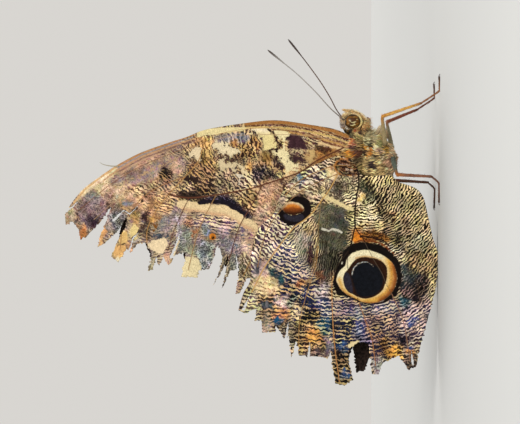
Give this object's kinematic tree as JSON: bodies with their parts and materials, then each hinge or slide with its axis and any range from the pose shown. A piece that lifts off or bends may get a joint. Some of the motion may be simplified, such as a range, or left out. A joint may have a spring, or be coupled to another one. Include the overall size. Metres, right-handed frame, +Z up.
{
  "type": "owl butterfly",
  "caption": "Owl butterfly at rest with worn wings shut over its back, life-size, a large eyespot on each hindwing.",
  "frame": {"origin": "on the floor under the middle of the whole animal, feelers included", "axes": "+Z up from the floor, the way the wings stand; +X towards the head; the animal's right side faces -Y"},
  "size_m": [0.0837, 0.0306, 0.0894],
  "materials": {
    "body_fur": "short soft brown fur",
    "eye_facets": "glossy amber brown with darker bands",
    "leg_horn": "satin orange-brown horn with pale scales",
    "tongue_horn": "glossy dark brown horn",
    "forewing_scales": "matte scales in cream, tan and dark brown",
    "hindwing_scales": "matte scales, finely rippled in cream on purple-grey and brown"
  },
  "bodies": {
    "root": {"head": "body_fur", "thorax": "body_fur", "abdomen": "body_fur", "eye_right": "eye_facets", "palp_right": "body_fur", "antenna_right": "leg_horn", "forewing_right": "forewing_scales", "hindwing_right": "hindwing_scales", "foreleg_right": "leg_horn", "midleg_femur_right": "leg_horn", "midleg_tibia_right": "leg_horn", "midleg_tarsus_right": "leg_horn", "hindleg_femur_right": "leg_horn", "hindleg_tibia_right": "leg_horn", "hindleg_tarsus_right": "leg_horn", "eye_left": "eye_facets", "palp_left": "body_fur", "antenna_left": "leg_horn", "forewing_left": "forewing_scales", "hindwing_left": "hindwing_scales", "foreleg_left": "leg_horn", "midleg_femur_left": "leg_horn", "midleg_tibia_left": "leg_horn", "midleg_tarsus_left": "leg_horn", "hindleg_femur_left": "leg_horn", "hindleg_tibia_left": "leg_horn", "hindleg_tarsus_left": "leg_horn", "proboscis": "tongue_horn"}
  },
  "joints": []
}
